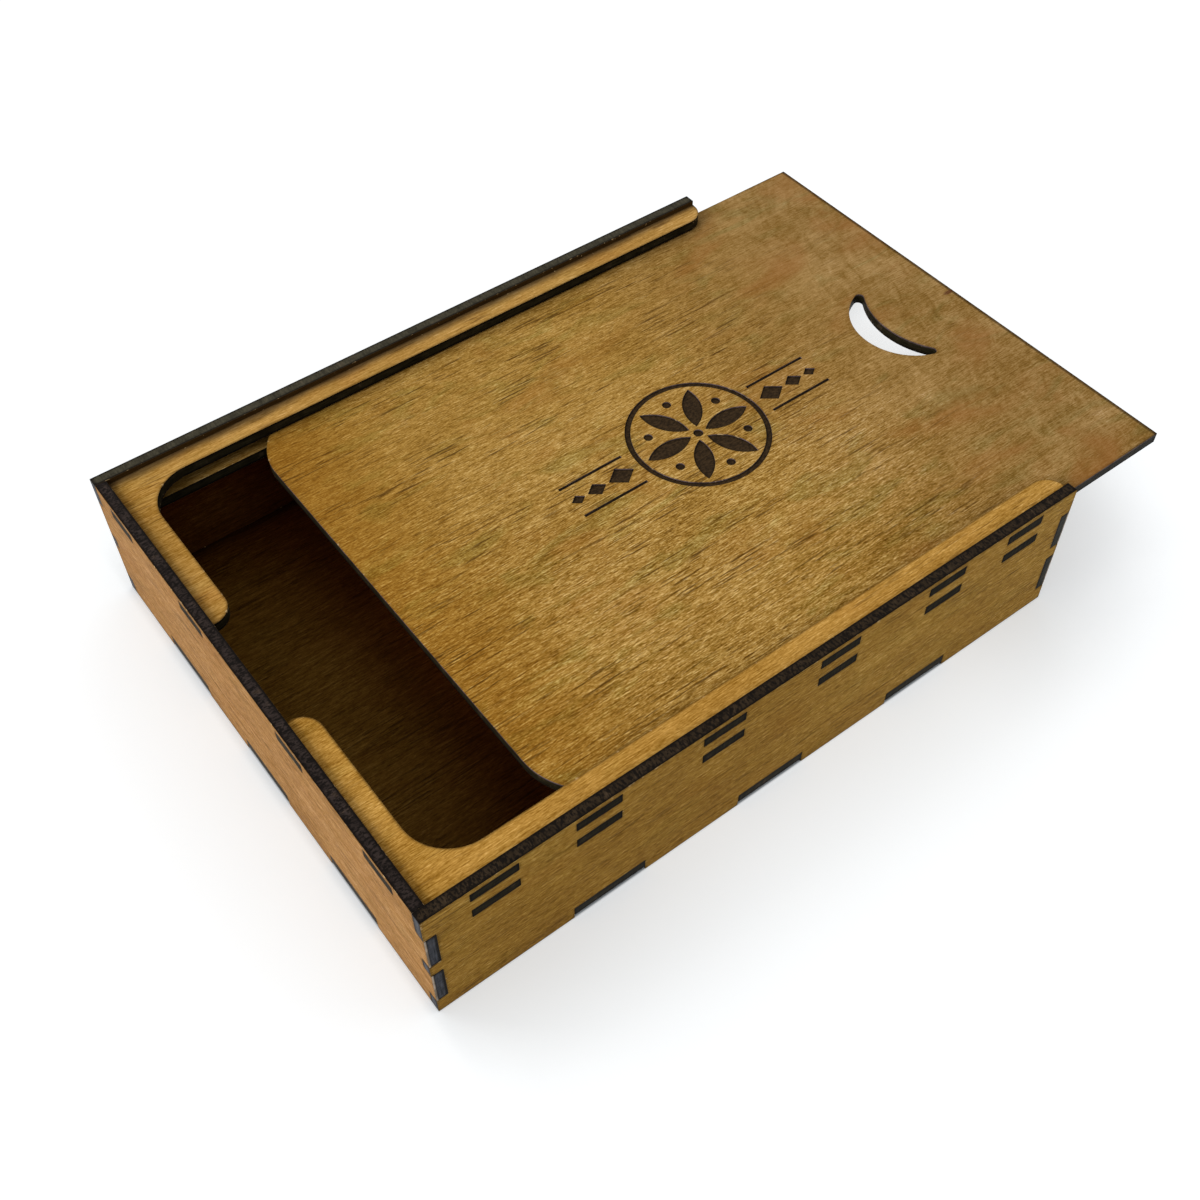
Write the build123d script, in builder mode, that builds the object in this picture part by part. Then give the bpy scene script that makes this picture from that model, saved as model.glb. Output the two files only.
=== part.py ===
from build123d import *
import os

# Sheet and overall size of the box
sheet = 3.0
box_length = 190.0
box_width = 150.0
wall_height = 41.4

# Corner finger joints, counted up from the table
foot_finger = 5.2
lower_finger = 12.2
middle_finger = 4.2
finger_gap = 0.1

# Lid channel, counted down from the top of the walls
wall_lip = 1.4
lid_play = 0.5
lid_side_play = 0.25
lid_end_play = 0.2
open_end_drop = 0.1

# Strips above and below the lid
strip_width = 6.0
frame_corner_radius = 12.0
strip_end_radius = 5.5
notch_width = 33.4

# Tabs of the strips and their slots in the walls
tab_gap = 0.1
long_tab = 11.8
long_tab_inset = 17.5
long_tab_step = 26.4
inner_tab_count = 4
short_tab = 11.0
short_tab_inset = 16.3
notch_tab_margin = 0.5

# Bottom panel, its height above the table and its tabs
base_height = 1.2
base_tab = 20.0
base_tab_long_inset = 46.7
base_tab_short_inset = 35.0

# Lid, drawn part of the way out
lid_draw = 36.0
lid_corner_radius = 18.0

# Crescent finger hole: the gap between two circles that cross
hole_inset = 26.1
hole_depth = 8.1
hole_big_radius = 23.5
hole_small_radius = 16.3
hole_tip_radius = 1.3

# Engraved rosette with a tapering row of lozenges on either side
engrave_depth = 0.4
ring_radius = 19.0
ring_line = 1.5
petal_count = 6
petal_start = 2.4
petal_length = 14.0
petal_width = 5.2
hub_radius = 1.3
bead_radius = 1.2
bead_circle = 13.0
flank_gap = 2.0
lozenge_count = 3
lozenge_length = 8.0
lozenge_width = 6.0
lozenge_shrink = 0.72
lozenge_gap = 0.8
rule_line = 0.8
rule_offset = 5.4

# Sizes that follow from those above
inner_length = box_length - 2 * sheet
inner_width = box_width - 2 * sheet
base_top = base_height + sheet
frame_top = wall_height - wall_lip
frame_bottom = frame_top - sheet
rail_top = frame_bottom - lid_play - sheet
rail_bottom = rail_top - sheet
open_end_height = rail_top - open_end_drop
upper_finger_bottom = foot_finger + lower_finger + middle_finger
lid_top = rail_top + sheet
lid_length = box_length - sheet - lid_end_play
lid_width = inner_width - 2 * lid_side_play
lid_end = box_length / 2 + lid_draw
lid_centre = lid_end - lid_length / 2

os.makedirs("parts", exist_ok=True)


def long_tab_centres():
    """X of the centre of each tab along a long wall."""
    first = -box_length / 2 + long_tab_inset
    inner = first + long_tab_step
    pitch = -2 * inner / (inner_tab_count - 1)
    middle = [inner + pitch * step for step in range(inner_tab_count)]
    return [first, *middle, -first]


def short_tab_centres():
    """Y of the centre of each tab on the front half of the closed end wall."""
    outer = -box_width / 2 + short_tab_inset
    near_notch = -notch_width / 2 - notch_tab_margin - short_tab / 2
    return [outer, near_notch]


def base_tab_centres(wall_length, inset):
    """Centre of each bottom-panel tab along a wall."""
    outer = wall_length / 2 - inset
    return [-outer, 0, outer]


def finger_spans():
    """Lowest and highest point of each finger of an end wall."""
    lower = (foot_finger, foot_finger + lower_finger)
    upper = (upper_finger_bottom, open_end_height)
    return [lower, upper]


def save(piece, name):
    """Label a finished piece and write it under its own name."""
    piece.part.label = name
    export_step(piece.part, f"parts/{name}.step")


# Bottom panel: a little above the lower edges of the walls, its tabs showing outside
with BuildPart() as bottom_panel:
    with BuildSketch(Plane.XY.offset(base_height)) as bottom_outline:
        Rectangle(inner_length, inner_width)
        for x in base_tab_centres(box_length, base_tab_long_inset):
            with Locations((x, 0)):
                Rectangle(base_tab, box_width)
        for y in base_tab_centres(box_width, base_tab_short_inset):
            with Locations((0, y)):
                Rectangle(box_length, base_tab)
    extrude(amount=sheet)
save(bottom_panel, "bottom_panel")

# Front wall: notched for the end walls and the bottom, slotted for both strips
with BuildPart() as front_wall:
    with BuildSketch(Plane.XZ.offset(inner_width / 2)) as front_outline:
        Rectangle(box_length, wall_height, align=(Align.CENTER, Align.MIN))
        for low, high in finger_spans():
            for end in (-1, 1):
                with Locations((end * (box_length - sheet) / 2, (low + high) / 2)):
                    Rectangle(sheet, high - low + 2 * finger_gap, mode=Mode.SUBTRACT)
        for x in base_tab_centres(box_length, base_tab_long_inset):
            with Locations((x, base_top / 2)):
                Rectangle(base_tab + 2 * tab_gap, base_top, mode=Mode.SUBTRACT)
        for x in long_tab_centres():
            for slot_bottom in (rail_bottom, frame_bottom):
                with Locations((x, slot_bottom + sheet / 2)):
                    Rectangle(long_tab + 2 * tab_gap, sheet, mode=Mode.SUBTRACT)
    extrude(amount=sheet)
save(front_wall, "front_wall")

with BuildPart() as back_wall:
    mirror(front_wall.part, about=Plane.XZ)
save(back_wall, "back_wall")

# Closed end wall: full height, its fingers reaching through the long walls
with BuildPart() as closed_end_wall:
    with BuildSketch(Plane.YZ.offset(-box_length / 2)) as closed_end_outline:
        Rectangle(inner_width, wall_height, align=(Align.CENTER, Align.MIN))
        for low, high in finger_spans():
            with Locations((0, (low + high) / 2)):
                Rectangle(box_width, high - low)
        for y in base_tab_centres(box_width, base_tab_short_inset):
            with Locations((y, base_top / 2)):
                Rectangle(base_tab + 2 * tab_gap, base_top, mode=Mode.SUBTRACT)
        for y in short_tab_centres():
            for side in (-1, 1):
                with Locations((side * y, frame_bottom + sheet / 2)):
                    Rectangle(short_tab + 2 * tab_gap, sheet, mode=Mode.SUBTRACT)
    extrude(amount=sheet)
save(closed_end_wall, "closed_end_wall")

# Open end wall: stops just under the lid
with BuildPart() as open_end_wall:
    with BuildSketch(Plane.YZ.offset(inner_length / 2)) as open_end_outline:
        Rectangle(inner_width, open_end_height, align=(Align.CENTER, Align.MIN))
        for low, high in finger_spans():
            with Locations((0, (low + high) / 2)):
                Rectangle(box_width, high - low)
        for y in base_tab_centres(box_width, base_tab_short_inset):
            with Locations((y, base_top / 2)):
                Rectangle(base_tab + 2 * tab_gap, base_top, mode=Mode.SUBTRACT)
    extrude(amount=sheet)
save(open_end_wall, "open_end_wall")

# Upper frame: an L that holds the lid down; the two frames leave a notch for fingers between them
with BuildPart() as front_upper_frame:
    with BuildSketch(Plane.XY.offset(frame_bottom)) as frame_outline:
        with Locations((-inner_length / 2, -inner_width / 2)):
            Rectangle(inner_length + sheet, strip_width, align=Align.MIN)
            Rectangle(strip_width, (inner_width - notch_width) / 2, align=Align.MIN)
        inner_corner = (-inner_length / 2 + strip_width, -inner_width / 2 + strip_width)
        long_arm_end = (box_length / 2, inner_corner[1])
        short_arm_end = (inner_corner[0], -notch_width / 2)
        fillet(frame_outline.vertices().sort_by_distance(inner_corner)[0], radius=frame_corner_radius)
        for arm_end in (long_arm_end, short_arm_end):
            fillet(frame_outline.vertices().sort_by_distance(arm_end)[0], radius=strip_end_radius)
        for x in long_tab_centres():
            with Locations((x, -inner_width / 2)):
                Rectangle(long_tab, sheet, align=(Align.CENTER, Align.MAX))
        for y in short_tab_centres():
            with Locations((-inner_length / 2, y)):
                Rectangle(sheet, short_tab, align=(Align.MAX, Align.CENTER))
    extrude(amount=sheet)
save(front_upper_frame, "front_upper_frame")

with BuildPart() as back_upper_frame:
    mirror(front_upper_frame.part, about=Plane.XZ)
save(back_upper_frame, "back_upper_frame")

# Lower rail: a straight strip between the end walls that the lid slides on
with BuildPart() as front_lower_rail:
    with BuildSketch(Plane.XY.offset(rail_bottom)) as rail_outline:
        with Locations((0, -inner_width / 2)):
            Rectangle(inner_length, strip_width, align=(Align.CENTER, Align.MIN))
        for x in long_tab_centres():
            with Locations((x, -inner_width / 2)):
                Rectangle(long_tab, sheet, align=(Align.CENTER, Align.MAX))
    extrude(amount=sheet)
save(front_lower_rail, "front_lower_rail")

with BuildPart() as back_lower_rail:
    mirror(front_lower_rail.part, about=Plane.XZ)
save(back_lower_rail, "back_lower_rail")

# One petal of the rosette, pointing along X from the rosette's centre
with BuildSketch() as petal:
    with BuildLine():
        tip = petal_start + petal_length
        belly = petal_start + petal_length / 2
        ThreePointArc((petal_start, 0), (belly, petal_width / 2), (tip, 0))
        ThreePointArc((tip, 0), (belly, -petal_width / 2), (petal_start, 0))
    make_face()

# Sliding lid: resting on the rails, its inner corners rounded and its outer corners square
with BuildPart() as sliding_lid:
    with BuildSketch(Plane.XY.offset(rail_top)) as lid_outline:
        with Locations((lid_centre, 0)):
            Rectangle(lid_length, lid_width)
        fillet(lid_outline.vertices().group_by(Axis.X)[0], radius=lid_corner_radius)
    extrude(amount=sheet)

    with BuildSketch(Plane.XY.offset(rail_top)) as finger_hole:
        hole_shallow_side = lid_end - hole_inset
        with Locations((hole_shallow_side - hole_depth + hole_small_radius, 0)):
            Circle(hole_small_radius)
        with Locations((hole_shallow_side + hole_big_radius, 0)):
            Circle(hole_big_radius, mode=Mode.SUBTRACT)
        fillet(finger_hole.vertices(), radius=hole_tip_radius)
    extrude(amount=sheet, mode=Mode.SUBTRACT)

    with BuildSketch(Plane.XY.offset(lid_top)) as ornament:
        with Locations((lid_centre, 0)):
            Circle(ring_radius)
            Circle(ring_radius - ring_line, mode=Mode.SUBTRACT)
            Circle(hub_radius)
            with PolarLocations(0, petal_count):
                add(petal.sketch)
            with PolarLocations(bead_circle, petal_count, start_angle=180 / petal_count):
                Circle(bead_radius)
        flank_start = ring_radius + flank_gap
        lozenge_start = flank_start
        for step in range(lozenge_count):
            length = lozenge_length * lozenge_shrink**step
            width = lozenge_width * lozenge_shrink**step
            corners = [(-length / 2, 0), (0, -width / 2), (length / 2, 0), (0, width / 2)]
            for side in (-1, 1):
                with Locations((lid_centre + side * (lozenge_start + length / 2), 0)):
                    Polygon(*corners)
            lozenge_start += length + lozenge_gap
        rule_length = lozenge_start - lozenge_gap - flank_start
        for side in (-1, 1):
            for edge in (-1, 1):
                rule_centre = lid_centre + side * (flank_start + rule_length / 2)
                with Locations((rule_centre, edge * rule_offset)):
                    Rectangle(rule_length, rule_line)
    extrude(amount=-engrave_depth, mode=Mode.SUBTRACT)
save(sliding_lid, "sliding_lid")
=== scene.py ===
import math
from dataclasses import dataclass, replace
from typing import NamedTuple

import bpy
from mathutils import Matrix, Vector

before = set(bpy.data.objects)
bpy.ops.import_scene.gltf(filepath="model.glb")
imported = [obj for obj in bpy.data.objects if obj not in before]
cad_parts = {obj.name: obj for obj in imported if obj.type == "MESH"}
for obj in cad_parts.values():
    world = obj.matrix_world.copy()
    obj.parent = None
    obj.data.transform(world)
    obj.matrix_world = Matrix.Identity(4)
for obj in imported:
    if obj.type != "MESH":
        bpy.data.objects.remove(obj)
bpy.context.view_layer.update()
MM = 0.001
WHITE = (1.0, 1.0, 1.0, 1.0)

# Camera, measured on the photograph: place in millimetres and angles in degrees
CAMERA_PLACE = (-142.76, -197.46, 297.98)
CAMERA_AZIMUTH = 36.92
CAMERA_ELEVATION = 51.08
CAMERA_ROLL = -0.373
CAMERA_LENS = 43.21
CAMERA_SENSOR = 36.0

# Light: one soft panel, low at the left, which leaves the floor out, and an even sky. The panel's
# distance and size are in metres
KEY_DIRECTION = (-0.87, -0.06, 0.49)
KEY_DISTANCE = 1.3
KEY_SIZE = 0.6
KEY_LEVEL = 0.77
SKY_LEVEL = 0.60

# Floor as the camera sees it: white where it is open, pale grey beside the box, dark under it. The
# pale grey is partly real shadow and partly a painted shadow, where the glow is lowered. It reaches
# this many metres each way
FLOOR_REACH = 6.0
FLOOR_DROP = 0.05 * MM
FLOOR_BOUNCE = (0.85, 0.85, 0.85, 1.0)
FLOOR_SHADE = (0.675, 0.72, 0.75, 1.0)
FLOOR_SHADE_REACH = 70 * MM
FLOOR_SHADED_TO_OPEN = (0.70, 0.86)
FLOOR_GLOW_OPEN = 0.65
FLOOR_GLOW_LEFT = 0.60
FLOOR_GLOW_CORNER = 0.465
FLOOR_GLOW_FRONT = 0.53
FLOOR_GLOW_RIGHT = 0.43

# Where the shaded floor's glow changes along the box, in millimetres
GLOW_CORNER_TO_FRONT = (-80.0, 0.0)
GLOW_FRONT_TO_RIGHT = (50.0, 95.0)
GLOW_LEFT_BLEND = 3.0
GLOW_EDGE = 0.3

# A painted pool of light: extra glow of the patch of floor seen through the lid's finger hole, and
# its place in millimetres
HOLE_LIGHT = 0.15
HOLE_LIGHT_PLACE = (135.0, 27.0, 0.0)
HOLE_LIGHT_SPREAD = (5.7, 19.0)

# Plywood plates in millimetres: the sheet, and where each kind starts through its thickness
SHEET = 3.0
LID_START = 33.5
FRAME_START = 37.0
RAIL_START = 30.5
BOTTOM_START = 1.2
LONG_WALL_START = 72.0
END_WALL_START = 92.0
LID_TOP = LID_START + SHEET
FRAME_TOP = FRAME_START + SHEET

# Small roundings on the plates' edges, in millimetres and degrees
WELD_DISTANCE = 0.001
EDGE_ROUNDING = 0.10
EDGE_ROUNDING_ANGLE = 40
EDGE_ROUNDING_SEGMENTS = 2

# How far a point looks for its plate's rim, the engraving's walls, the corners that take soot and
# painted shade, and the lid above that casts painted shade
RIM_REACH = 1.3 * MM
WELL_REACH = 0.8 * MM
SOOT_AND_SHADE_REACH = 6.0 * MM
PAINTED_SHADE_REACH = 120 * MM
OPENNESS_SAMPLES = 8

# Zones of the lid along the box in millimetres, and what its colour does in them, among them a
# painted falloff of the light towards the outer end
LID_END = 131.0
LID_INNER_ZONE = (-56.0, -15.0)
LID_OUTER_ZONE = (30.0, 125.0)
LID_RIM_ZONE = (100.0, 125.0)
LID_RIM_INNER = 0.1
# Tone shares of the outer end, the inner end and the ripple; the outer end's is a painted falloff
# of the light
LID_TONE_SHARES = (-0.12, -0.10, 0.13)
LID_OUTER_GRAIN = 0.45
LID_OUTER_WARMTH = 1.8
LID_INNER_WARMTH = 0.3

# Ramps in millimetres, each as from, to and the values there: the lid's grain from front to back,
# its pores and burnt line along the box, and the knot at its end by the distance from its middle
LID_GRAIN_ACROSS = (-30.0, 50.0, 1.05, 0.75)
LID_PORES = (60.0, 105.0, 1.0, 0.2)
LID_END_LINE = (LID_END - 1.2, LID_END - 0.7, 0.0, 0.65)
KNOT_PLACE = (129.3, 0.5, 0.0)
KNOT_SHAPE = (1 / 1.9, 1 / 0.8, 0.0)
KNOT_FADE = (0.5, 1.2, 0.75, 0.0)

# A darker band on the back frame beside its wall, the burnt lip inside the walls, and the height
# below which the lid counts as engraved, in millimetres
DARK_BAND_ZONE = (LONG_WALL_START - 3.5, LONG_WALL_START - 0.3)
DARK_BAND_WANDER = 0.9
LIP_ZONE = (FRAME_TOP - 0.3, FRAME_TOP + 0.1)
LIP_BURN = 0.85
ENGRAVING_ZONE = (LID_TOP - 0.10, LID_TOP - 0.04)

# Masks by how squarely a surface faces through the sheet, from 0 on a cut edge to 1 on a face
EDGE_FLATNESS = (0.35, 0.65)
FACE_FLATNESS = (0.90, 0.98)
ARRIS_FLATNESS_FROM = (0.08, 0.3)
ARRIS_FLATNESS_TO = (0.85, 0.97)

# Masks by how far a surface faces up, and by depth in the sheet from 0 to 1
UPWARD_EDGE = (0.3, 0.7)
UPWARD_FLOOR = 0.5
MID_DEPTH = 0.5
INNER_SIDE_DEPTH = (0.3, 0.7)
CORE_DEPTH = (0.22, 0.38)
CORE_WIDENING = -0.09
# Depth of the painted highlight line on upright cut edges
HIGHLIGHT_LINE_DEPTH = (0.80, 0.92, 0.0, 0.9)

# Masks by how free a point is of solids, from 0 to 1, how much the clouds move them, and strengths
SCORCH_OPENNESS = (0.68, 0.96)
SCORCH_WANDER = -0.04
SCORCH = 0.10
# Soot and painted shade in corners, where other plates hem a face in
SOOT_AND_SHADE_OPENNESS = (0.50, 0.97)
SOOT_AND_SHADE_WANDER = 0.06
RIM_OPENNESS = (0.50, 0.70)
CHIP_OPENNESS = (0.56, 0.70)
EDGE_BORDER_OPENNESS = (0.58, 0.86)
EDGE_BORDER = 0.9
WELL_OPENNESS = (0.55, 0.9)
WELL_SHADE = 0.8


class Pattern(NamedTuple):
    """A noise: features' size in millimetres on each axis, character, and the ends of its mask."""

    size: tuple
    detail: float
    roughness: float
    distortion: float
    ends: tuple = (-1.0, 1.0)


# Patterns on the faces, sized along the grain, across it and through the sheet
CLOUD = Pattern((16, 9, 30), 3, 0.55, 0.5)
BLOTCH = Pattern((48, 26, 40), 2, 0.5, 0.4)
BAND = Pattern((90, 2.4, 20), 3, 0.6, 0.3)
LONG_LINE = Pattern((16, 0.5, 8), 2, 0.55, 0.1)
LINE = Pattern((4.5, 0.32, 6), 2, 0.6, 0.1)
FIBRE = Pattern((2.0, 0.25, 6), 1, 0.5, 0.0)
SPECKLE = Pattern((0.7, 0.26, 3), 1, 0.5, 0.0)
SILK = Pattern((3.0, 0.5, 6), 2, 0.55, 0.3)
SILK_ZONE = Pattern((30, 22, 30), 2, 0.5, 0.3, ends=(-0.5, 0.4))
RIPPLE = Pattern((4.0, 9.0, 20), 2, 0.55, 1.4)
WARM_ZONE = Pattern((24, 15, 30), 2, 0.5, 0.5, ends=(0.0, 0.9))
OLIVE_ZONE = Pattern((22, 8, 30), 2, 0.55, 0.8, ends=(0.0, 0.7))
STREAK = Pattern((11, 0.55, 8), 2, 0.5, 0.1, ends=(0.22, 0.50))
STREAK_ZONE = Pattern((34, 9, 30), 2, 0.5, 0.2, ends=(-0.2, 0.3))
DASH = Pattern((3.0, 0.22, 8), 1, 0.5, 0.0, ends=(0.40, 0.60))
MOTTLE = Pattern((0.9, 0.5, 4), 3, 0.6, 0.3, ends=(-0.6, 0.7))
CHIP = Pattern((1.6, 1.6, 1.6), 2, 0.6, 0.0)

# Patterns on the cut edges, on the same axes
TICK = Pattern((0.7, 0.7, 0.7), 2, 0.6, 0.2)
SMEAR = Pattern((3.0, 3.0, 0.6), 2, 0.5, 0.2)
SPECK = Pattern((0.45, 0.45, 0.9), 2, 0.6, 0.2, ends=(-0.25, 0.20))
EDGE_STREAK = Pattern((4.0, 4.0, 0.3), 2, 0.6, 0.2)

# How the patterns are laid: the noise's own ends, the shift for each seed, the slant of the silk,
# and how much less the cut edges' patterns change through the sheet
NOISE_ENDS = (0.2, 0.8)
SEED_STEPS = (7.3, 3.1, 5.7)
SILK_SLANT = math.radians(25)
EDGE_DRAW = 0.18

# How much each pattern shows: in the tone, in the fine grain from long lines to silk, in relief
TONE_BASE = 0.55
TONE_SHARES = (0.10, 0.08, 0.06)
LID_GRAIN = (0.13, 0.26, 0.27, 0.24, 0.11)
PLAIN_GRAIN = (0.14, 0.26, 0.22, 0.16, 0.05)
SILK_LEAST = 0.35
DASH_SHARE = 0.5
RELIEF_SHARES = (0.014, 0.008, 0.006)
PORE_RELIEF = -0.03
EDGE_RELIEF = 0.04

# Bare wood by the chips' noise, with a painted highlight along the arrises, each as from, to and
# the shares there
ARRIS_CHIPS_AND_HIGHLIGHT = (0.35, 0.7, 0.03, 0.8)
FACE_CHIPS = (0.55, 0.7, 0.0, 0.9)

# Unevenness of the charred edges: shares of the pattern and of the smears, the least brightness,
# the streaks' gain, and ramps for the pale flecks and for the breaks in the pale highlight line
CHAR_UNEVEN = (0.4, 0.4)
CHAR_LEAST = 0.2
EDGE_STREAK_GAIN = 2.0
PALE_TICKS = 0.5
PALE_CHAR = (0.45, 1.0, 0.0, 0.35)
HIGHLIGHT_LINE_BREAKS = (-0.5, 0.5, 0.4, 1.0)

# Roughness of the stained wood, how much the clouds add and how much the cut edges take away
ROUGHNESS = 0.58
CLOUD_ROUGHNESS = 0.05
EDGE_ROUGHNESS = -0.08


def srgb(red, green, blue):
    """A linear colour with full alpha from display values of 0 to 255."""
    def linear(value):
        value /= 255
        return value / 12.92 if value <= 0.04045 else ((value + 0.055) / 1.055) ** 2.4
    return (linear(red), linear(green), linear(blue), 1.0)


class Graph:
    """Shader nodes of one material, added by plain calls."""

    def __init__(self, tree):
        self.tree = tree
        tree.nodes.clear()

    def feed(self, socket, value):
        """Link a socket to another, or give it a constant."""
        if isinstance(value, bpy.types.NodeSocket):
            self.tree.links.new(value, socket)
        else:
            socket.default_value = value

    def add(self, kind, inputs, **settings):
        """A new node with its settings and inputs."""
        node = self.tree.nodes.new(kind)
        for name, value in settings.items():
            setattr(node, name, value)
        for key, value in inputs.items():
            self.feed(node.inputs[key], value)
        return node

    def math(self, operation, first, second=0.0):
        """A Math node's result."""
        return self.add("ShaderNodeMath", {0: first, 1: second}, operation=operation).outputs[0]

    def product(self, first, second):
        """Two values multiplied."""
        return self.math("MULTIPLY", first, second)

    def larger(self, first, second):
        """The larger of two values."""
        return self.math("MAXIMUM", first, second)

    def ramp(self, value, low, high, to_low=0.0, to_high=1.0, smooth=True):
        """The value carried from one range to another and held at its ends."""
        kind = "SMOOTHSTEP" if smooth else "LINEAR"
        inputs = {0: value, 1: low, 2: high, 3: to_low, 4: to_high}
        return self.add("ShaderNodeMapRange", inputs, interpolation_type=kind).outputs[0]

    def fall(self, value, low, high, start=1.0):
        """A ramp from the start down to 0."""
        return self.ramp(value, low, high, start, 0.0)

    def mix(self, share, first, second):
        """Two colours mixed."""
        node = self.add("ShaderNodeMix", {}, data_type="RGBA")
        for index, value in ((0, share), (6, first), (7, second)):
            self.feed(node.inputs[index], value)
        return node.outputs[2]

    def scaled(self, vector, factor):
        """A vector or colour times one factor."""
        inputs = {0: vector, 3: factor}
        return self.add("ShaderNodeVectorMath", inputs, operation="SCALE").outputs[0]

    def tinted(self, vector, shares):
        """A vector or colour with each part times its own share."""
        inputs = {0: vector, 1: shares}
        return self.add("ShaderNodeVectorMath", inputs, operation="MULTIPLY").outputs[0]

    def parts(self, vector):
        """A vector's three parts."""
        return self.add("ShaderNodeSeparateXYZ", {0: vector}).outputs

    def joined(self, parts):
        """A vector from its three parts."""
        return self.add("ShaderNodeCombineXYZ", dict(enumerate(parts))).outputs[0]

    def distance(self, place, centre, stretch=(1.0, 1.0, 1.0)):
        """How far a place lies from a centre, with each axis stretched."""
        offset = self.add("ShaderNodeVectorMath", {0: place, 1: centre}, operation="SUBTRACT")
        offset = self.tinted(offset.outputs[0], stretch)
        return self.add("ShaderNodeVectorMath", {0: offset}, operation="LENGTH").outputs["Value"]

    def turned(self, place, angle):
        """The place turned about the axis through the sheet."""
        inputs = {"Vector": place, "Angle": angle}
        return self.add("ShaderNodeVectorRotate", inputs, rotation_type="Z_AXIS").outputs[0]

    def colours(self, value, stops):
        """A colour ramp with the given positions and colours."""
        ramp = self.add("ShaderNodeValToRGB", {0: value})
        elements = ramp.color_ramp.elements
        while len(elements) < len(stops):
            elements.new(0.5)
        for element, (position, colour) in zip(elements, stops):
            element.position = position
            element.color = colour
        return ramp.outputs[0]

    def blend(self, value, terms):
        """The value plus each term's source times its weight."""
        for source, weight in terms:
            value = self.math("ADD", value, self.product(source, weight))
        return value

    def noise(self, place, pattern, shift):
        """A pattern's noise, from about -1 to 1, shifted so that no two plates or masks match."""
        scale = [1 / length for length in pattern.size]
        mapped = self.add("ShaderNodeMapping", {"Vector": place, "Location": shift, "Scale": scale})
        inputs = {
            "Vector": mapped.outputs[0],
            "Scale": 1.0,
            "Detail": pattern.detail,
            "Roughness": pattern.roughness,
            "Distortion": pattern.distortion,
        }
        noise = self.add("ShaderNodeTexNoise", inputs)
        return self.ramp(noise.outputs[0], *NOISE_ENDS, -1.0, 1.0, smooth=False)

    def mask(self, place, pattern, shift, low=0.0, high=1.0):
        """A pattern's noise as a mask from low to high between the pattern's ends."""
        return self.ramp(self.noise(place, pattern, shift), *pattern.ends, low, high)

    def openness(self, reach, towards=None, **settings):
        """How free a point is of solids in reach, 0 to 1, about its normal or a direction."""
        settings["samples"] = OPENNESS_SAMPLES
        node = self.add("ShaderNodeAmbientOcclusion", {"Distance": reach}, **settings)
        if towards:
            self.feed(node.inputs["Normal"], self.joined(towards))
        return node.outputs["AO"]


def make_camera():
    """The camera at the photograph's place and angle."""
    azimuth, elevation, roll = map(math.radians, (CAMERA_AZIMUTH, CAMERA_ELEVATION, CAMERA_ROLL))
    forward = Vector((
        math.sin(azimuth) * math.cos(elevation),
        math.cos(azimuth) * math.cos(elevation),
        -math.sin(elevation),
    ))
    level = Vector((math.cos(azimuth), -math.sin(azimuth), 0))
    upright = level.cross(forward)
    right = math.cos(roll) * level + math.sin(roll) * upright
    up = math.cos(roll) * upright - math.sin(roll) * level
    data = bpy.data.cameras.new("camera")
    data.lens = CAMERA_LENS
    data.sensor_width = CAMERA_SENSOR
    camera = bpy.data.objects.new("camera", data)
    turn = Matrix((right, up, -forward)).transposed().to_4x4()
    camera.matrix_world = Matrix.Translation(Vector(CAMERA_PLACE) * MM) @ turn
    bpy.context.scene.collection.objects.link(camera)
    bpy.context.scene.camera = camera


def make_key_light(left_out):
    """The soft panel. Its power gives KEY_LEVEL on a surface that faces it."""
    direction = Vector(KEY_DIRECTION).normalized()
    data = bpy.data.lights.new("key_panel", "AREA")
    data.shape = "SQUARE"
    data.size = KEY_SIZE
    data.energy = KEY_LEVEL * math.pi**2 * KEY_DISTANCE**2
    panel = bpy.data.objects.new("key_panel", data)
    panel.location = direction * KEY_DISTANCE
    panel.rotation_mode = "QUATERNION"
    panel.rotation_quaternion = direction.to_track_quat("Z", "Y")
    panel.visible_camera = False
    bpy.context.scene.collection.objects.link(panel)
    receivers = bpy.data.collections.new("key_receivers")
    receivers.objects.link(left_out)
    receivers.collection_objects[0].light_linking.link_state = "EXCLUDE"
    panel.light_linking.receiver_collection = receivers


def seen_rays(graph):
    """1 for camera, mirror and see-through rays, which find the white backdrop, otherwise 0."""
    path = graph.add("ShaderNodeLightPath", {}).outputs
    seen = graph.larger(path["Is Camera Ray"], path["Is Glossy Ray"])
    return graph.larger(seen, path["Is Transmission Ray"])


def make_sky():
    """An even sky that lights softly and looks white."""
    world = bpy.data.worlds.new("sky")
    world.use_nodes = True
    bpy.context.scene.world = world
    graph = Graph(world.node_tree)
    light = graph.add("ShaderNodeBackground", {"Color": WHITE, "Strength": SKY_LEVEL})
    white = graph.add("ShaderNodeBackground", {"Color": WHITE, "Strength": 1.0})
    inputs = {0: seen_rays(graph), 1: light.outputs[0], 2: white.outputs[0]}
    both = graph.add("ShaderNodeMixShader", inputs)
    graph.add("ShaderNodeOutputWorld", {"Surface": both.outputs[0]})


def outside(graph, across, half_size):
    """0 under the box along one axis and 1 beyond its outline."""
    reach = graph.math("ABSOLUTE", across)
    return graph.ramp(reach, half_size - GLOW_EDGE, half_size + GLOW_EDGE)


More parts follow.
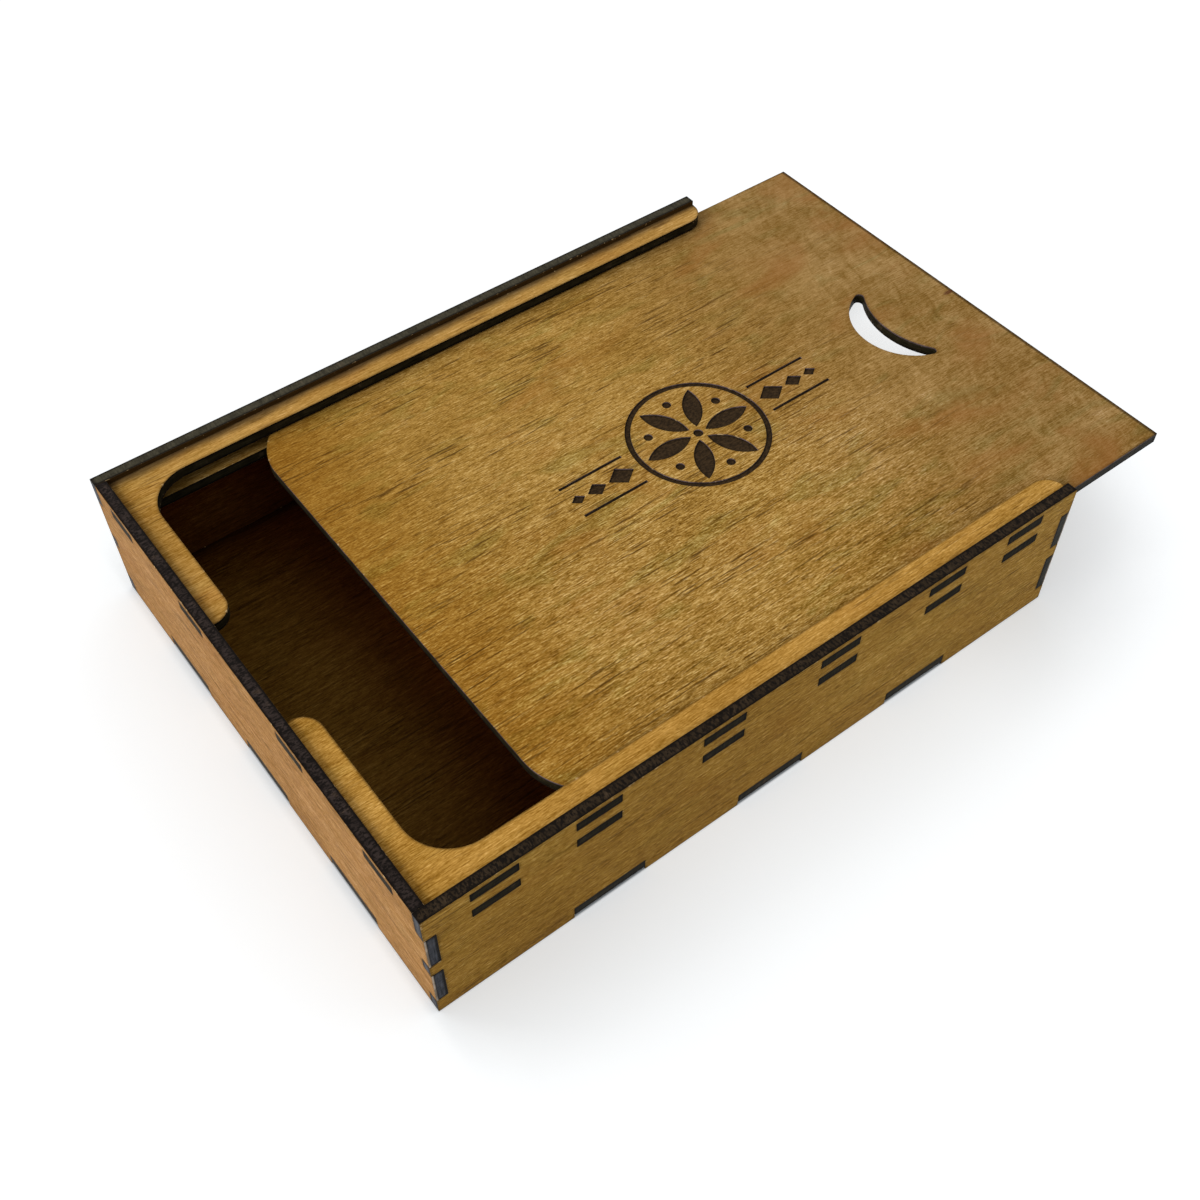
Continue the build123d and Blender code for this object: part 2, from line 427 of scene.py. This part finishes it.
def floor_glow(graph):
    """How much the floor glows for the camera: most where it is open, nothing under the box, less
    beside the box as a painted shadow, and more below the finger hole as a painted pool of light.
    """
    in_mm = graph.scaled(graph.add("ShaderNodeTexCoord", {}).outputs["Object"], 1 / MM)
    along, across, _ = graph.parts(in_mm)
    half_length = END_WALL_START + SHEET
    half_width = LONG_WALL_START + SHEET
    clear = graph.larger(outside(graph, along, half_length), outside(graph, across, half_width))
    beside = graph.ramp(along, *GLOW_CORNER_TO_FRONT, FLOOR_GLOW_CORNER, FLOOR_GLOW_FRONT)
    beside = graph.ramp(along, *GLOW_FRONT_TO_RIGHT, beside, FLOOR_GLOW_RIGHT)
    left_end = (-half_length - GLOW_LEFT_BLEND, -half_length)
    beside = graph.ramp(along, *left_end, FLOOR_GLOW_LEFT, beside)
    # A painted pool of light on the floor below the finger hole
    from_patch = graph.distance(in_mm, HOLE_LIGHT_PLACE)
    beside = graph.math("ADD", beside, graph.fall(from_patch, *HOLE_LIGHT_SPREAD, HOLE_LIGHT))
    # Painted shadow: less glow where the box hems the floor in, at a different level on each side
    free = graph.openness(FLOOR_SHADE_REACH)
    level = graph.ramp(free, *FLOOR_SHADED_TO_OPEN, beside, FLOOR_GLOW_OPEN)
    return graph.product(clear, level)


def make_floor():
    """A plain white floor that keeps the object's shadow."""
    material = bpy.data.materials.new("white_floor")
    material.use_nodes = True
    graph = Graph(material.node_tree)
    bounce = graph.add("ShaderNodeBsdfDiffuse", {"Color": FLOOR_BOUNCE})
    shade = graph.add("ShaderNodeBsdfDiffuse", {"Color": FLOOR_SHADE})
    glow = graph.add("ShaderNodeEmission", {"Color": WHITE, "Strength": floor_glow(graph)})
    looks = graph.add("ShaderNodeAddShader", {0: shade.outputs[0], 1: glow.outputs[0]})
    inputs = {0: seen_rays(graph), 1: bounce.outputs[0], 2: looks.outputs[0]}
    both = graph.add("ShaderNodeMixShader", inputs)
    graph.add("ShaderNodeOutputMaterial", {"Surface": both.outputs[0]})
    corners = [
        (x * FLOOR_REACH, y * FLOOR_REACH, -FLOOR_DROP)
        for x, y in ((-1, -1), (1, -1), (1, 1), (-1, 1))
    ]
    mesh = bpy.data.meshes.new("floor")
    mesh.from_pydata(corners, [], [(0, 1, 2, 3)])
    mesh.materials.append(material)
    floor = bpy.data.objects.new("floor", mesh)
    bpy.context.scene.collection.objects.link(floor)
    return floor


# Stained plywood, as colours that it shows in plain light
DEEP_BROWN = srgb(88, 54, 6)
WARM_BROWN = srgb(134, 97, 34)
GOLD = srgb(178, 139, 72)
PALE_GOLD = srgb(222, 188, 126)
REDDISH = srgb(150, 94, 36)
PORE = srgb(74, 46, 12)
# Pale bare wood, which along the arrises also paints a highlight
PALE_BARE_WOOD_AND_HIGHLIGHT = srgb(196, 166, 118)
CHAR = srgb(17, 14, 12)
CHAR_CORE = srgb(33, 29, 18)
CHAR_BROWN = srgb(50, 40, 29)
CHAR_MAUVE = srgb(49, 41, 38)
# A greyer, bluish char for upright cut faces, which paints in their sheen
CHAR_SLATE = srgb(68, 64, 51)
CHAR_GREY_SHEEN = srgb(60, 62, 68)
CHAR_OLIVE = srgb(46, 45, 38)
CHAR_PALE = srgb(84, 68, 54)
# Painted highlight lines near the top of cut edges: on the lid, and on the end walls' corners over
# bare wood
LID_PAINTED_HIGHLIGHT = srgb(102, 86, 88)
CORNER_BARE_WOOD_AND_HIGHLIGHT = srgb(200, 184, 166)
BURNT = srgb(38, 26, 12)
# Colour of the darker band on the back frame beside its wall
DARK_BAND_BROWN = srgb(52, 40, 30)
KNOT = srgb(88, 46, 32)
ENGRAVED = srgb(66, 50, 32)
ENGRAVED_DARK = srgb(38, 28, 17)
WOOD_COLOURS = ((0.0, DEEP_BROWN), (0.34, WARM_BROWN), (0.66, GOLD), (1.0, PALE_GOLD))

# Tints that multiply a colour, channel by channel
NO_TINT = (1.0, 1.0, 1.0)
OLIVE_TINT = (0.84, 0.95, 0.92)
# Reddish dark of the painted shade that the lid casts inside the box
PAINTED_SHADE_TINT = (0.40, 0.13, 0.10)
LID_OUTER_TINT = (1.0, 1.08, 1.85)
LID_INNER_TINT = (1.0, 1.0, 0.78)
# Painted shade on the walls' inner sides
PAINTED_SHADE_INSIDE = (0.43, 0.38, 0.34)

# Directions in which a plate looks for the lid above, and the openness between which the painted
# shade under the lid fades
PAINTED_SHADE_ON_FLOOR = (0.707, 0.0, 0.707)
PAINTED_SHADE_ON_BACK = (0.41, -0.41, 0.82)
PAINTED_SHADE_ON_FRONT = (0.41, 0.41, 0.82)
FLOOR_PAINTED_SHADE_OPENNESS = (0.11, 0.44)
WALL_PAINTED_SHADE_OPENNESS = (0.20, 0.44)

X, Y, Z = 0, 1, 2
UP = Z
FLAT = (X, Y, Z)
LONG_UPRIGHT = (X, Z, Y)
SHORT_UPRIGHT = (Y, Z, X)


@dataclass(frozen=True)
class Plate:
    """How one plywood plate looks. Its axes run along the grain, across it and through it."""

    name: str
    axes: tuple
    start: float
    seed: int
    tone: float = 1.0
    tint: tuple = NO_TINT
    contrast: float = 1.0
    warmth: float = 0.2
    olive: float = 0.3
    lean: float = 0.0
    streaks: float = 0.6
    # Strength of the soot and painted shade in corners
    soot_and_shade: float = 0.3
    dark_band: float = 0.0
    rim: float = 0.5
    gloss: float = 0.03
    # Painted shade on the inner side, as a tint
    inner_painted_shade: tuple = NO_TINT
    top_core: tuple = CHAR_CORE
    top_specks: float = 0.9
    upright_core_and_sheen: tuple = CHAR_CORE
    highlight_line: tuple = ()
    # Painted shade under the lid: where to look for the lid, and the openness between which it
    # fades
    painted_shade: tuple = ()
    painted_shade_openness: tuple = FLOOR_PAINTED_SHADE_OPENNESS
    lid: bool = False

    @property
    def is_wall(self):
        """Whether the plate's inner side is painted darker than its outer side, as shade."""
        return self.inner_painted_shade != NO_TINT


class Surface:
    """Coordinates and masks that the parts of one plate's material share."""

    def __init__(self, graph, plate):
        self.shift = tuple(plate.seed * step for step in SEED_STEPS)
        grain, across, through = plate.axes
        coordinates = graph.add("ShaderNodeTexCoord", {}).outputs
        parts = graph.parts(graph.scaled(coordinates["Object"], 1 / MM))
        facing = graph.parts(coordinates["Normal"])
        self.along = parts[grain]
        self.across = parts[across]
        self.height = parts[UP]
        self.upward = facing[UP]
        self.place = graph.joined((self.along, self.across, parts[through]))
        self.slanted = graph.turned(self.place, SILK_SLANT)
        drawn = graph.product(parts[through], EDGE_DRAW)
        self.drawn_through = graph.joined((self.along, self.across, drawn))
        # From 0 at the plate's lower or inner side to 1 at its upper or outer one
        depth = graph.math("SUBTRACT", graph.math("ABSOLUTE", parts[through]), plate.start)
        self.depth = graph.math("DIVIDE", depth, SHEET)
        flatness = graph.math("ABSOLUTE", facing[through])
        self.on_edge = graph.fall(flatness, *EDGE_FLATNESS)
        self.on_face = graph.ramp(flatness, *FACE_FLATNESS)
        from_edge = graph.ramp(flatness, *ARRIS_FLATNESS_FROM)
        self.arris = graph.product(from_edge, graph.fall(flatness, *ARRIS_FLATNESS_TO))
        self.inside = graph.openness(RIM_REACH, inside=True, only_local=True)
        self.cloud = graph.noise(self.place, CLOUD, self.shift)
        if plate.is_wall:
            self.inner_side = graph.fall(self.depth, *INNER_SIDE_DEPTH)
        if plate.lid:
            self.outer = graph.ramp(self.along, *LID_OUTER_ZONE)
            self.inner = graph.fall(self.along, *LID_INNER_ZONE)


def fine_grain(graph, plate, surface):
    """Light and dark of the fine grain, and its relief."""
    place, shift = surface.place, surface.shift
    long_line, line, fibre, speckle = (
        graph.noise(place, pattern, shift) for pattern in (LONG_LINE, LINE, FIBRE, SPECKLE)
    )
    silk_zone = graph.mask(place, SILK_ZONE, (9, plate.seed, 4), SILK_LEAST)
    silk = graph.product(graph.noise(surface.slanted, SILK, shift), silk_zone)
    shares = LID_GRAIN if plate.lid else PLAIN_GRAIN
    fine = graph.blend(0.0, zip((long_line, line, fibre, speckle, silk), shares))
    if plate.lid:
        fine = graph.product(fine, graph.ramp(surface.outer, 0.0, 1.0, 1.0, LID_OUTER_GRAIN))
        fine = graph.product(fine, graph.ramp(surface.across, *LID_GRAIN_ACROSS))
    return fine, graph.blend(0.0, zip((line, fibre, silk), RELIEF_SHARES))


def stain(graph, plate, surface, fine):
    """Colour of the stained wood, with warm and olive zones in it."""
    place, shift, seed = surface.place, surface.shift, plate.seed
    patterns = (graph.noise(place, BLOTCH, shift), surface.cloud, graph.noise(place, BAND, shift))
    value = graph.blend(TONE_BASE, zip(patterns, TONE_SHARES))
    value = graph.blend(value, [(graph.product(surface.along, plate.lean / 100), 1.0)])
    warmth = graph.mask(place, WARM_ZONE, (seed, -seed, 9), high=plate.warmth)
    olive = graph.mask(place, OLIVE_ZONE, (seed, 6, 2), high=plate.olive)
    if plate.lid:
        outer, inner = surface.outer, surface.inner
        ripple = graph.product(graph.noise(surface.slanted, RIPPLE, shift), outer)
        # Painted light: the lid's tone falls towards its outer end, as the light falls off along it
        value = graph.blend(value, zip((outer, inner, ripple), LID_TONE_SHARES))
        warmth = graph.product(warmth, graph.ramp(outer, 0.0, 1.0, 1.0, LID_OUTER_WARMTH))
        warmth = graph.larger(warmth, graph.product(inner, LID_INNER_WARMTH))
    value = graph.blend(value, [(fine, plate.contrast)])
    wood = graph.mix(warmth, graph.colours(value, WOOD_COLOURS), REDDISH)
    wood = graph.mix(olive, wood, graph.tinted(wood, OLIVE_TINT))
    if plate.lid:
        wood = graph.mix(outer, wood, graph.tinted(wood, LID_OUTER_TINT))
        wood = graph.mix(inner, wood, graph.tinted(wood, LID_INNER_TINT))
        wood = graph.mix(graph.ramp(surface.along, *LID_END_LINE), wood, BURNT)
        from_knot = graph.distance(place, KNOT_PLACE, KNOT_SHAPE)
        wood = graph.mix(graph.ramp(from_knot, *KNOT_FADE), wood, KNOT)
    return wood


def dark_pores(graph, plate, surface):
    """Long streaks and short dashes where the wood's pores took up more stain."""
    streaks = graph.mask(surface.place, STREAK, surface.shift)
    zone = graph.mask(surface.place, STREAK_ZONE, surface.shift)
    dashes = graph.mask(surface.place, DASH, (3, plate.seed, 8))
    pores = graph.larger(graph.product(streaks, zone), graph.product(dashes, DASH_SHARE))
    pores = graph.product(pores, plate.streaks)
    if plate.lid:
        pores = graph.product(pores, graph.ramp(surface.along, *LID_PORES))
    return pores


def darkened(graph, plate, surface, face):
    """A face with a scorch beside every cut, soot and painted shade in corners, a darker band
    beside the back wall, painted shade under the lid and a burnt rim.
    """
    scorch = graph.blend(surface.inside, [(surface.cloud, SCORCH_WANDER)])
    scorch = graph.fall(scorch, *SCORCH_OPENNESS, SCORCH)
    # Soot and painted shade: darker where other plates are near
    corner = graph.blend(graph.openness(SOOT_AND_SHADE_REACH), [(surface.cloud, SOOT_AND_SHADE_WANDER)])
    soot_and_shade = graph.fall(corner, *SOOT_AND_SHADE_OPENNESS, plate.soot_and_shade)
    face = graph.mix(graph.larger(scorch, soot_and_shade), face, BURNT)
    # A darker band beside the back wall
    if plate.dark_band:
        side = graph.math("ABSOLUTE", surface.across)
        dark_band = graph.blend(side, [(surface.cloud, DARK_BAND_WANDER)])
        face = graph.mix(graph.ramp(dark_band, *DARK_BAND_ZONE, 0.0, plate.dark_band), face, DARK_BAND_BROWN)
    # Painted shade: darker and redder where the lid above hides the sky
    if plate.painted_shade:
        painted_shade = graph.openness(PAINTED_SHADE_REACH, towards=plate.painted_shade)
        painted_shade = graph.fall(painted_shade, *plate.painted_shade_openness)
        if plate.is_wall:
            painted_shade = graph.product(painted_shade, surface.inner_side)
        face = graph.mix(painted_shade, face, graph.tinted(face, PAINTED_SHADE_TINT))
    rim = plate.rim
    if plate.lid:
        rim = graph.ramp(surface.along, *LID_RIM_ZONE, LID_RIM_INNER, plate.rim)
    return graph.mix(graph.fall(surface.inside, *RIM_OPENNESS, rim), face, BURNT)


def stained_face(graph, plate, surface):
    """Colour and relief of a plate's broad faces."""
    fine, relief = fine_grain(graph, plate, surface)
    pores = dark_pores(graph, plate, surface)
    face = graph.mix(pores, stain(graph, plate, surface, fine), PORE)
    face = graph.tinted(face, [plate.tone * share for share in plate.tint])
    if plate.is_wall:
        # Painted shade: the inner side darkened
        face = graph.mix(surface.inner_side, face, graph.tinted(face, plate.inner_painted_shade))
        lip = graph.product(graph.ramp(surface.height, *LIP_ZONE), surface.inner_side)
        face = graph.mix(graph.product(lip, LIP_BURN), face, BURNT)
    return darkened(graph, plate, surface, face), graph.blend(relief, [(pores, PORE_RELIEF)])


def cut_edge(graph, plate, surface):
    """Colour and relief of the charred cut edges: specks on top ones, streaks and a greyer painted
    sheen on upright ones, and near their upper border a pale line that is a painted highlight.
    """
    shift = surface.shift
    off_centre = graph.math("ABSOLUTE", graph.math("SUBTRACT", surface.depth, MID_DEPTH))
    top = graph.ramp(surface.upward, *UPWARD_EDGE)
    core = graph.fall(graph.blend(off_centre, [(top, CORE_WIDENING)]), *CORE_DEPTH)
    ticks = graph.noise(surface.drawn_through, TICK, shift)
    smears = graph.noise(surface.drawn_through, SMEAR, shift)
    streaks = graph.product(graph.noise(surface.place, EDGE_STREAK, shift), EDGE_STREAK_GAIN)
    pattern = graph.ramp(top, 0.0, 1.0, streaks, ticks)
    uneven = graph.larger(graph.blend(1.0, zip((pattern, smears), CHAR_UNEVEN)), CHAR_LEAST)
    # Upright cut faces take a greyer char, which partly paints in their sheen
    middle = graph.scaled(graph.mix(top, plate.upright_core_and_sheen, plate.top_core), uneven)
    black = graph.product(top, graph.mask(surface.place, SPECK, shift, plate.top_specks, 0.0))
    edge = graph.mix(core, CHAR, graph.mix(black, middle, CHAR))
    pale = graph.ramp(graph.blend(smears, [(ticks, PALE_TICKS)]), *PALE_CHAR)
    edge = graph.mix(graph.product(pale, core), edge, CHAR_PALE)
    edge = graph.mix(graph.fall(surface.inside, *EDGE_BORDER_OPENNESS, EDGE_BORDER), edge, CHAR)
    # Painted highlight: a pale line near the upper border of upright cut edges
    if plate.highlight_line:
        line = graph.ramp(surface.depth, *HIGHLIGHT_LINE_DEPTH)
        line = graph.product(line, graph.ramp(smears, *HIGHLIGHT_LINE_BREAKS))
        line = graph.product(line, graph.math("SUBTRACT", 1.0, top))
        edge = graph.mix(line, edge, plate.highlight_line)
    return edge, graph.product(ticks, EDGE_RELIEF)


def engraved(graph, surface, colour):
    """The lid's colour with the darker floor of the engraving below its top face."""
    below = graph.fall(surface.height, *ENGRAVING_ZONE)
    burn = graph.product(below, graph.math("GREATER_THAN", surface.upward, UPWARD_FLOOR))
    mottle = graph.mask(surface.place, MOTTLE, surface.shift)
    floor = graph.mix(mottle, ENGRAVED_DARK, ENGRAVED)
    well = graph.openness(WELL_REACH, only_local=True)
    floor = graph.mix(graph.fall(well, *WELL_OPENNESS, WELL_SHADE), floor, CHAR)
    return graph.mix(burn, colour, floor)


def chips_and_arris_highlight(graph, surface):
    """Where the stain is chipped off, on arrises and on faces right beside a cut, and a painted
    highlight along the arrises.
    """
    chips = graph.noise(surface.place, CHIP, surface.shift)
    on_arris = graph.product(surface.arris, graph.ramp(chips, *ARRIS_CHIPS_AND_HIGHLIGHT))
    beside = graph.product(graph.fall(surface.inside, *CHIP_OPENNESS), surface.on_face)
    return graph.larger(on_arris, graph.product(beside, graph.ramp(chips, *FACE_CHIPS)))


def plywood(plate):
    """Material of a stained and laser-cut plate."""
    material = bpy.data.materials.new(plate.name)
    material.use_nodes = True
    graph = Graph(material.node_tree)
    surface = Surface(graph, plate)
    face, face_relief = stained_face(graph, plate, surface)
    edge, edge_relief = cut_edge(graph, plate, surface)
    colour = graph.mix(surface.on_edge, face, edge)
    # Pale bare wood, and along the arrises a painted highlight
    colour = graph.mix(chips_and_arris_highlight(graph, surface), colour, PALE_BARE_WOOD_AND_HIGHLIGHT)
    if plate.lid:
        colour = engraved(graph, surface, colour)
    rough_terms = [(surface.cloud, CLOUD_ROUGHNESS), (surface.on_edge, EDGE_ROUGHNESS)]
    spread = graph.math("SUBTRACT", edge_relief, face_relief)
    height = graph.blend(face_relief, [(graph.product(spread, surface.on_edge), 1.0)])
    bump = graph.add("ShaderNodeBump", {"Strength": 1.0, "Distance": MM, "Height": height})
    inputs = {
        "Base Color": colour,
        "Roughness": graph.blend(ROUGHNESS, rough_terms),
        "Normal": bump.outputs[0],
        "Specular IOR Level": plate.gloss,
    }
    shader = graph.add("ShaderNodeBsdfPrincipled", inputs)
    graph.add("ShaderNodeOutputMaterial", {"Surface": shader.outputs[0]})
    return material


# Every plate's finish, and the nodes of the frame that wear it
LID_FINISH = Plate(
    "lid_ply", FLAT, LID_START, seed=1, tone=1.04, tint=(1.0, 0.98, 0.88), contrast=1.1,
    warmth=0.3, olive=0.85, streaks=0.8, soot_and_shade=0.35, rim=0.85, highlight_line=LID_PAINTED_HIGHLIGHT, lid=True,
)
FRONT_FRAME_FINISH = Plate(
    "front_frame_ply", FLAT, FRAME_START, seed=2, tone=1.28, tint=(1.0, 0.93, 0.80), contrast=0.74,
    lean=0.035, streaks=0.45, soot_and_shade=0.25, rim=0.85, gloss=0.01,
)
BACK_FRAME_FINISH = Plate(
    "back_frame_ply", FLAT, FRAME_START, seed=7, tone=1.29, tint=(1.0, 0.965, 1.02), contrast=0.6,
    lean=0.07, soot_and_shade=0.45, dark_band=0.75, rim=0.7, gloss=0.01,
)
RAIL_FINISH = Plate("rail_ply", FLAT, RAIL_START, seed=3, tone=0.9, gloss=0.01)
BOTTOM_FINISH = Plate(
    "bottom_ply", FLAT, BOTTOM_START, seed=4, tone=0.41, tint=(1.0, 0.88, 0.45), soot_and_shade=0.85,
    painted_shade=PAINTED_SHADE_ON_FLOOR,
)
FRONT_WALL_FINISH = Plate(
    "front_wall_ply", LONG_UPRIGHT, LONG_WALL_START, seed=5, tone=1.02, tint=(0.98, 0.94, 0.66),
    warmth=0.15, lean=0.03, soot_and_shade=0.15, inner_painted_shade=PAINTED_SHADE_INSIDE, top_core=CHAR_BROWN,
    upright_core_and_sheen=CHAR_GREY_SHEEN, painted_shade=PAINTED_SHADE_ON_FRONT, painted_shade_openness=WALL_PAINTED_SHADE_OPENNESS,
)
BACK_WALL_FINISH = Plate(
    "back_wall_ply", LONG_UPRIGHT, LONG_WALL_START, seed=8, tone=1.02, tint=(0.98, 0.94, 0.62),
    warmth=0.15, soot_and_shade=0.15, inner_painted_shade=PAINTED_SHADE_INSIDE, top_core=CHAR_SLATE, top_specks=0.3,
    upright_core_and_sheen=CHAR_GREY_SHEEN, painted_shade=PAINTED_SHADE_ON_BACK, painted_shade_openness=WALL_PAINTED_SHADE_OPENNESS,
)
END_WALL_FINISH = Plate(
    "end_wall_ply", SHORT_UPRIGHT, END_WALL_START, seed=6, tone=0.82, tint=(1.0, 0.875, 1.06),
    contrast=0.9, warmth=0.15, soot_and_shade=0.25, inner_painted_shade=PAINTED_SHADE_INSIDE, top_core=CHAR_MAUVE,
    upright_core_and_sheen=CHAR_GREY_SHEEN, highlight_line=CORNER_BARE_WOOD_AND_HIGHLIGHT,
)
OPEN_END_FINISH = replace(END_WALL_FINISH, name="open_end_ply", seed=9, upright_core_and_sheen=CHAR_OLIVE)
FINISHES = {
    LID_FINISH: ("sliding_lid",),
    FRONT_FRAME_FINISH: ("front_upper_frame",),
    BACK_FRAME_FINISH: ("back_upper_frame",),
    RAIL_FINISH: ("front_lower_rail", "back_lower_rail"),
    BOTTOM_FINISH: ("bottom_panel",),
    FRONT_WALL_FINISH: ("front_wall",),
    BACK_WALL_FINISH: ("back_wall",),
    END_WALL_FINISH: ("closed_end_wall",),
    OPEN_END_FINISH: ("open_end_wall",),
}


def round_edges(node):
    """Tiny roundings on a plate's edges, so that they catch the light."""
    weld = node.modifiers.new("weld", "WELD")
    weld.merge_threshold = WELD_DISTANCE * MM
    rounding = node.modifiers.new("rounding", "BEVEL")
    rounding.width = EDGE_ROUNDING * MM
    rounding.segments = EDGE_ROUNDING_SEGMENTS
    rounding.limit_method = "ANGLE"
    rounding.angle_limit = math.radians(EDGE_ROUNDING_ANGLE)
    rounding.use_clamp_overlap = True
    rounding.harden_normals = True


for plate, names in FINISHES.items():
    material = plywood(plate)
    for name in names:
        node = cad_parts[name]
        node.material_slots[0].material = material
        round_edges(node)

make_camera()
make_key_light(left_out=make_floor())
make_sky()
bpy.context.scene.view_settings.view_transform = "Standard"
